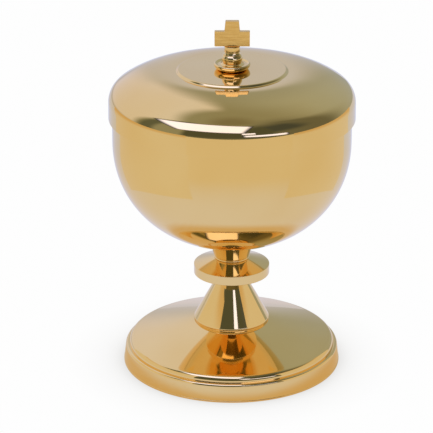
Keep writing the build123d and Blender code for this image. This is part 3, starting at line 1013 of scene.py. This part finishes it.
def make_lock_washer():
    """A split spring washer of square wire, pressed almost flat, its ends a little apart."""
    _, bottom, top = extent("lock_washer")
    gap = math.radians(lock_washer_gap)
    corners = [(rod_hole_radius, bottom), (lock_washer_radius, bottom),
               (lock_washer_radius, top), (rod_hole_radius, top)]
    mesh = bmesh.new()
    rows = []
    for step in range(lock_washer_steps + 1):
        angle = gap / 2 + (math.tau - gap) * step / lock_washer_steps
        row = []
        for r, z in corners:
            lean = math.radians(lock_washer_lean) * (z - bottom) / (top - bottom)
            row.append(mesh.verts.new((r * math.cos(angle + lean) * MM,
                                       r * math.sin(angle + lean) * MM, z * MM)))
        rows.append(row)
    for before, after in zip(rows, rows[1:]):
        for place in range(len(corners)):
            beside = (place + 1) % len(corners)
            mesh.faces.new((before[place], after[place], after[beside], before[beside]))
    mesh.faces.new(rows[0])
    mesh.faces.new(rows[-1][::-1])
    bmesh.ops.recalc_face_normals(mesh, faces=mesh.faces)
    bmesh.ops.bevel(mesh, geom=[e for e in mesh.edges if e.calc_face_angle(0) > 1],
                    offset=lock_washer_edge * MM, segments=2, profile=0.5, affect="EDGES")
    washer = object_from("split_washer", mesh, plated_steel)
    washer.data.set_sharp_from_angle(angle=math.radians(lock_washer_sharp_angle))
    return settle(washer, "vessel", "plated_steel", "lock_washer")


def make_rods():
    radius, bottom, top = extent("tie_rod")
    rod = cut_rod("tie_rod_threaded", radius, rod_pitch, bottom, top, rod_chamfer,
                  plated_steel)
    settle(rod, "vessel", "plated_steel", "tie_rod")
    radius, bottom, top = extent("finial_stud")
    stud = cut_rod("finial_stud_threaded", radius, stud_pitch, bottom, top, stud_chamfer,
                   raw_brass)
    settle(stud, "lid", "raw_brass", "finial_stud")


# ---- build -----------------------------------------------------------------------------
make_cup()
make_neck()
make_neck_ring()
make_knop()
make_stem_cone()
make_foot()
make_base_ring()
make_lid()
make_seat_ring()
make_finial_base()
make_finial_barrel()
make_finial_collar()
make_cross()
make_rods()
make_nut("foot_hexagon_nut", "foot_nut", rod_nut_bore_radius, rod_nut_flats, plated_steel,
         "vessel", "plated_steel")
make_nut("finial_hexagon_nut", "finial_nut", stud_nut_bore_radius, stud_nut_flats, raw_brass,
         "lid", "raw_brass")
make_washer("foot_clamp_washer", "clamp_washer", rod_hole_radius, raw_brass, "vessel",
            "raw_brass")
make_washer("finial_flat_washer", "finial_washer", stud_hole_radius, raw_brass, "lid",
            "raw_brass")
make_lock_washer()

# The boss inside the neck is shown as its CAD node.
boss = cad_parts["cup_boss"]
boss.data.materials.clear()
boss.data.materials.append(raw_brass)


# ---- camera ----------------------------------------------------------------------------
camera_back = 1.2743             # metres in front of the axis
camera_height = 0.5888
camera_pitch = 21.54             # degrees that it looks down
camera_yaw = 0.383               # degrees that it looks left
camera_lens = 203.8              # mm
camera_sensor = 36.0             # mm
camera_clip = (0.05, 50.0)       # metres

camera_data = bpy.data.cameras.new("camera")
camera_data.lens = camera_lens
camera_data.sensor_width = camera_sensor
camera_data.clip_start, camera_data.clip_end = camera_clip
camera = bpy.data.objects.new("camera", camera_data)
camera.location = (0, -camera_back, camera_height)
camera.rotation_euler = (math.radians(90 - camera_pitch), 0, math.radians(camera_yaw))
bpy.context.scene.collection.objects.link(camera)
bpy.context.scene.camera = camera
bpy.context.scene.view_settings.view_transform = "Standard"


# ---- studio ----------------------------------------------------------------------------
# The vessel is a mirror, so the studio is what gives it its tones. Directions are an azimuth,
# 0 towards the camera and growing to the right, and an elevation. Brightness is linear RGB.
dome_radius = 2.6
dome_step = 1.0                  # degrees
lid_height = 0.16                # metres: the dome is centred on the lid

table_reach = 2.1
table_points = 161               # along each side
table_crowding = 2.2             # power that crowds the points towards the axis
table_drop = 0.0004              # below the vessel's foot
table_behind_fade = 0.5
table_near_radius = 0.30
table_near_fade = 0.34
table_foot_radius = 0.080
table_foot_fade = 0.022
table_front = (0.71, 0.672, 0.61)
table_behind = (0.63, 0.70, 0.96)
table_near = (0.70, 0.735, 0.95)
table_at_foot = (0.65, 0.52, 0.36)
card_shade_height = 0.130
card_shade_width = 0.03
card_points = (31, 25)           # across and up
softbox_points = 61              # across, and as many up
softbox_fade = 0.1               # share of its width and height
card_low = (0.71, 0.685, 0.66)
card_high = (0.66, 0.52, 0.34)
lamp_white = (1.25, 1.45, 3.0)   # bluish, as the lamps are to the camera's warm balance
room_grey = (0.29, 0.32, 0.30)

backdrop_white = (0.99, 0.99, 0.99, 1)
floor_radius = 12.0
floor_corners = 96
contact_shade = (0.52, 0.50, 0.47, 1)
contact_reach = 0.035


def glow_material(name):
    """Light whose colour and brightness are painted on the mesh as its glow attribute."""
    material = bpy.data.materials.new(name)
    tree = emptied(material)
    painted = node(tree, "ShaderNodeAttribute", {"attribute_name": "glow"})
    lamp = node(tree, "ShaderNodeEmission", {"Strength": 1.0},
                {"Color": painted.outputs["Color"]})
    node(tree, "ShaderNodeOutputMaterial", links={"Surface": lamp.outputs[0]})
    return material


def direction(azimuth, elevation):
    """Unit vectors in the studio's directions, given in degrees."""
    a, e = np.radians(azimuth), np.radians(elevation)
    return np.stack([np.sin(a) * np.cos(e), -np.cos(a) * np.cos(e), np.sin(e)], -1)


def soft(value, low, high, edge):
    """1 between low and high, falling to 0 over a soft edge centred on each."""
    up = np.clip((value - low) / edge + 0.5, 0, 1)
    down = np.clip((high - value) / edge + 0.5, 0, 1)
    return (up * up * (3 - 2 * up)) * (down * down * (3 - 2 * down))


# name: azimuth from, to, elevation from, to, soft edge across, soft edge up, brightness
dome_zones = {
    "right side, darker to the front": (28, 112, -10, 75, 34, 24, (0.150, 0.165, 0.150)),
    "darkest, right of the camera": (32, 76, 24, 60, 22, 18, (0.068, 0.084, 0.095)),
    "behind the camera": (-46, 40, -4, 62, 8, 20, (0.085, 0.100, 0.085)),
    "right rear wall": (120, 176, -8, 58, 46, 30, (0.40, 0.47, 0.54)),
    "large fill on the left rear": (188, 262, -2, 64, 12, 12, (0.72, 0.76, 1.03)),
    "low rear haze": (172, 192, -8, 25, 14, 8, (0.57, 0.63, 0.86)),
    "gap between fill and key": (268, 284, -10, 70, 9, 10, (0.12, 0.145, 0.135)),
    "overhead": (-180, 180, 80, 120, 1, 12, (0.215, 0.22, 0.18)),
}


def painted_grid(name, points, colours):
    """A grid of points, each with its own brightness, that the vessel reflects and the camera
    doesn't see."""
    rows, columns = points.shape[:2]
    corner = np.arange(rows * columns).reshape(rows, columns)
    faces = np.stack([corner[:-1, :-1], corner[1:, :-1], corner[1:, 1:], corner[:-1, 1:]], -1)
    mesh = bpy.data.meshes.new(name)
    mesh.from_pydata(points.reshape(-1, 3).tolist(), [], faces.reshape(-1, 4).tolist())
    paint = mesh.attributes.new("glow", "FLOAT_COLOR", "POINT")
    rgba = np.ones((rows * columns, 4), np.float32)
    rgba[:, :3] = colours.reshape(-1, 3)
    paint.data.foreach_set("color", rgba.ravel())
    mesh.materials.append(glow_material(name))
    made = bpy.data.objects.new(name, mesh)
    bpy.context.scene.collection.objects.link(made)
    made.visible_camera = False
    made.visible_shadow = False
    return made


def make_dome():
    """The room round the vessel: one plain grey with the dome zones painted over it."""
    azimuths = np.arange(0, 360 + dome_step / 2, dome_step)
    elevations = np.arange(-90, 90 + dome_step / 2, dome_step)
    az, el = np.meshgrid(azimuths, elevations)
    colours = np.empty((*az.shape, 3))
    colours[:] = room_grey
    for from_az, to_az, from_el, to_el, edge_az, edge_el, glow in dome_zones.values():
        middle, half = (from_az + to_az) / 2, (to_az - from_az) / 2
        off = (az - middle + 180) % 360 - 180 if half < 180 else az * 0
        weight = soft(off, -half, half, edge_az) * soft(el, from_el, to_el, edge_el)
        colours += (np.array(glow) - colours) * weight[..., None]
    points = direction(az, el) * dome_radius + np.array([0, 0, lid_height])
    return painted_grid("studio_dome", points, colours)


def make_softbox(name, corners, glow):
    """A flat softbox, its corners given as lower left, lower right, upper left, upper right.
    Its light fades over its edge, as cloth over a lamp does."""
    low_left, low_right, high_left, high_right = (np.array(corner) for corner in corners)
    u, v = np.meshgrid(np.linspace(0, 1, softbox_points), np.linspace(0, 1, softbox_points))
    across, up = u[..., None], v[..., None]
    points = ((low_left * (1 - across) + low_right * across) * (1 - up)
              + (high_left * (1 - across) + high_right * across) * up)
    limits = (softbox_fade / 2, 1 - softbox_fade / 2, softbox_fade)
    fade = soft(u, *limits) * soft(v, *limits)
    return painted_grid(name, points, fade[..., None] * np.array(glow))


def make_card(name, azimuths, radius, heights, low_glow, high_glow):
    """A curved card that stands round part of the vessel, shaded from its foot to its top."""
    az, z = np.meshgrid(np.linspace(*azimuths, card_points[0]),
                        np.linspace(*heights, card_points[1]))
    points = direction(az, az * 0) * radius
    points[..., 2] = z
    share = soft(z, card_shade_height, math.inf, card_shade_width)[..., None]
    return painted_grid(name, points, np.array(low_glow) * (1 - share)
                        + np.array(high_glow) * share)


def make_table():
    """The table as the vessel mirrors it: gold-lit at the foot, cool near it and behind it,
    and warm towards the front."""
    share = np.linspace(-1, 1, table_points)
    span = table_reach * np.sign(share) * np.abs(share) ** table_crowding
    x, y = np.meshgrid(span, span)
    from_axis = np.hypot(x, y)
    colours = np.empty((*x.shape, 3))
    colours[:] = table_front
    behind = soft(y, 0.0, math.inf, table_behind_fade)
    near = soft(from_axis, -math.inf, table_near_radius, table_near_fade)
    at_foot = soft(from_axis, -math.inf, table_foot_radius, table_foot_fade)
    for weight, glow in ((behind, table_behind), (near, table_near), (at_foot, table_at_foot)):
        colours += (np.array(glow) - colours) * weight[..., None]
    points = np.stack([x, y, np.full_like(x, -table_drop)], -1)
    return painted_grid("table_glow", points, colours)


def make_floor():
    """The floor that the camera sees: plain and pale, with a soft contact shadow."""
    material = bpy.data.materials.new("plain pale floor")
    tree = emptied(material)
    closeness = node(tree, "ShaderNodeAmbientOcclusion",
                     {"samples": 16, "Distance": contact_reach})
    shade = node(tree, "ShaderNodeMix", {"data_type": "RGBA", 6: contact_shade,
                 7: backdrop_white}, {0: closeness.outputs["AO"]})
    lamp = node(tree, "ShaderNodeEmission", {"Strength": 1.0}, {"Color": shade.outputs[2]})
    node(tree, "ShaderNodeOutputMaterial", links={"Surface": lamp.outputs[0]})
    mesh = bpy.data.meshes.new("floor")
    angles = [math.tau * step / floor_corners for step in range(floor_corners)]
    mesh.from_pydata([(floor_radius * math.cos(angle), floor_radius * math.sin(angle), 0)
                      for angle in angles], [], [tuple(range(floor_corners))])
    mesh.materials.append(material)
    floor = bpy.data.objects.new("floor", mesh)
    bpy.context.scene.collection.objects.link(floor)
    floor.visible_glossy = False
    floor.visible_diffuse = False


def make_world():
    """A white backdrop of even light."""
    world = bpy.data.worlds.new("white backdrop")
    bpy.context.scene.world = world
    tree = emptied(world)
    sky = node(tree, "ShaderNodeBackground", {"Color": backdrop_white, "Strength": 1.0})
    node(tree, "ShaderNodeOutputWorld", links={"Surface": sky.outputs[0]})


make_floor()
make_world()
make_dome()
make_table()
make_softbox("key_softbox", [(-0.255, -0.215, 0.296), (0.076, -0.391, 0.345),
                             (-0.258, -0.010, 0.372), (0.105, -0.184, 0.530)], lamp_white)
make_softbox("low_window", [(0.094, -0.593, 0.240), (0.460, -0.386, 0.172),
                            (0.094, -0.593, 0.330), (0.460, -0.386, 0.265)], lamp_white)
make_card("right_card", (48, 118), 0.20, (0.0, 0.155), card_low, card_high)
make_card("left_card", (-118, -35), 0.20, (0.0, 0.155), card_low, card_high)
make_card("far_strip", (9, 21), 0.60, (0.375, 0.460), lamp_white, lamp_white)
